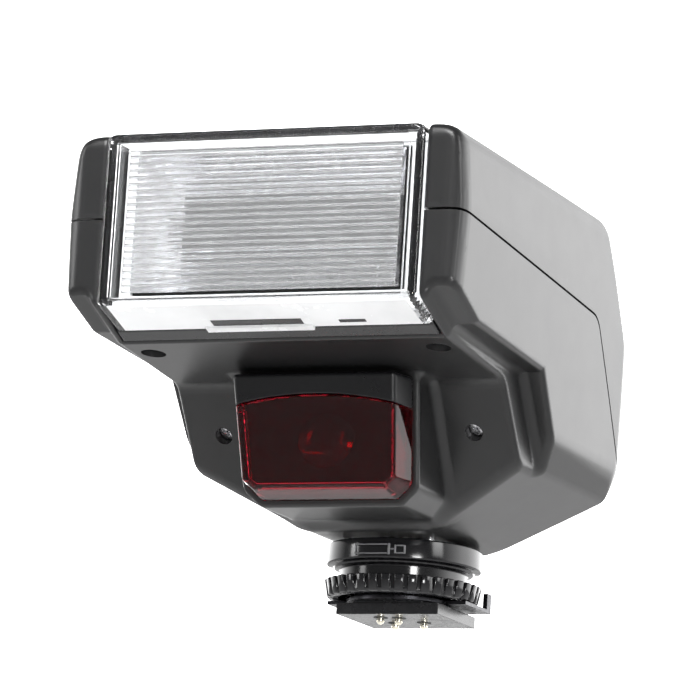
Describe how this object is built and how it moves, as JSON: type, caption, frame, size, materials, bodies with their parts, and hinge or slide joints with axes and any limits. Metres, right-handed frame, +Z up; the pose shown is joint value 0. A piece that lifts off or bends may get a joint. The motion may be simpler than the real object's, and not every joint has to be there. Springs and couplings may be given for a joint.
{
  "type": "speedlight flash",
  "caption": "Compact shoe-mount camera flash with a fixed ribbed-lens head, red focus-assist window, knurled lock wheel, sprung foot contacts and a side battery door.",
  "frame": {"origin": "centre of the foot's sole, the face that sits on the camera's shoe contacts", "axes": "+Z up out of the shoe, -Y the way the flash fires, +X the flash's left side as it faces forward"},
  "size_m": [0.0708, 0.0821, 0.0712],
  "materials": {
    "casing_plastic": "fine satin texture",
    "black_plastic": "moulded satin",
    "gloss_black": "polished",
    "clear_lens": "clear moulded acrylic",
    "red_window": "deep red translucent acrylic",
    "mirror_metal": "bright anodised sheet",
    "tube_glass": "quartz glass",
    "soft_rubber": "matt",
    "wire_cover": "insulation",
    "capacitor_sleeve": "shrink sleeve",
    "zinc_steel": "bright plated",
    "board": "solder mask",
    "component_black": "moulded epoxy",
    "copper_winding": "enamelled wire",
    "cell_wrap": "printed-free sleeve",
    "lamp_amber": "translucent amber",
    "gold_contact": "gold plated"
  },
  "bodies": {
    "body": {"front_shell": "casing_plastic", "rear_shell": "casing_plastic", "lens_bezel": "black_plastic", "flash_lens": "clear_lens", "reflector": "mirror_metal", "reflector_carrier": "black_plastic", "flash_tube": "tube_glass", "tube_boots": "soft_rubber", "tube_leads": "wire_cover", "af_window": "red_window", "af_nameplate": "gloss_black", "af_led": "red_window", "af_led_lens": "clear_lens", "af_board": "board", "main_capacitor": "capacitor_sleeve", "capacitor_strap": "zinc_steel", "main_board": "board", "power_board": "board", "board_parts": "component_black", "transformer": "copper_winding", "trigger_coil": "copper_winding", "battery_case": "black_plastic", "battery_contacts": "zinc_steel", "aa_cells": "cell_wrap", "door_hinge_pin": "zinc_steel", "rear_plate": "gloss_black", "control_board": "board", "slide_switch": "black_plastic", "test_switch": "black_plastic", "button_spring": "zinc_steel", "ready_lamp": "lamp_amber", "neck_collar": "black_plastic", "neck_screws": "zinc_steel", "shoe_foot": "black_plastic", "foot_screws": "zinc_steel", "foot_contact_board": "board", "foot_leads": "wire_cover", "contact_spring_1": "zinc_steel", "contact_spring_2": "zinc_steel", "contact_spring_3": "zinc_steel", "contact_spring_4": "zinc_steel", "head_screws": "zinc_steel", "case_screws": "zinc_steel"},
    "pressure_plate": {"pressure_plate": "black_plastic"},
    "lock_wheel": {"lock_wheel": "black_plastic"},
    "battery_door": {"battery_door": "casing_plastic"},
    "power_switch": {"power_switch": "black_plastic"},
    "test_button": {"test_button": "black_plastic"},
    "contact_pin_1": {"contact_pin_1": "gold_contact"},
    "contact_pin_2": {"contact_pin_2": "gold_contact"},
    "contact_pin_3": {"contact_pin_3": "gold_contact"},
    "contact_pin_4": {"contact_pin_4": "gold_contact"}
  },
  "joints": [
    {"name": "lock_lift", "type": "slide", "parent": "body", "child": "pressure_plate", "axis": [0, 0, 1], "range_m": [0, 0.00175]},
    {"name": "lock_turn", "type": "hinge", "parent": "pressure_plate", "child": "lock_wheel", "pos_m": [0, -0.002, 0.0045], "axis": [0, 0, 1], "range_deg": [0, 360]},
    {"name": "door_swing", "type": "hinge", "parent": "body", "child": "battery_door", "pos_m": [-0.03192, 0.0076, 0.04], "axis": [0, 0, -1], "range_deg": [0, 100]},
    {"name": "power_slide", "type": "slide", "parent": "body", "child": "power_switch", "axis": [1, 0, 0], "range_m": [0, 0.004]},
    {"name": "test_press", "type": "slide", "parent": "body", "child": "test_button", "axis": [0, -0.8575, -0.5145], "range_m": [0, 0.0008], "stiffness_N_per_m": 600, "springref_m": -0.0004, "deforming": ["button_spring"]},
    {"name": "pin_1_press", "type": "slide", "parent": "body", "child": "contact_pin_1", "axis": [0, 0, 1], "range_m": [0, 0.0009], "stiffness_N_per_m": 400, "springref_m": -0.0004, "deforming": ["contact_spring_1"]},
    {"name": "pin_2_press", "type": "slide", "parent": "body", "child": "contact_pin_2", "axis": [0, 0, 1], "range_m": [0, 0.0009], "stiffness_N_per_m": 400, "springref_m": -0.0004, "deforming": ["contact_spring_2"]},
    {"name": "pin_3_press", "type": "slide", "parent": "body", "child": "contact_pin_3", "axis": [0, 0, 1], "range_m": [0, 0.0009], "stiffness_N_per_m": 400, "springref_m": -0.0004, "deforming": ["contact_spring_3"]},
    {"name": "pin_4_press", "type": "slide", "parent": "body", "child": "contact_pin_4", "axis": [0, 0, 1], "range_m": [0, 0.0009], "stiffness_N_per_m": 400, "springref_m": -0.0004, "deforming": ["contact_spring_4"]}
  ],
  "couplings": [
    {"joint": "lock_turn", "follows": "lock_lift", "rad_per_m": 3590}
  ]
}
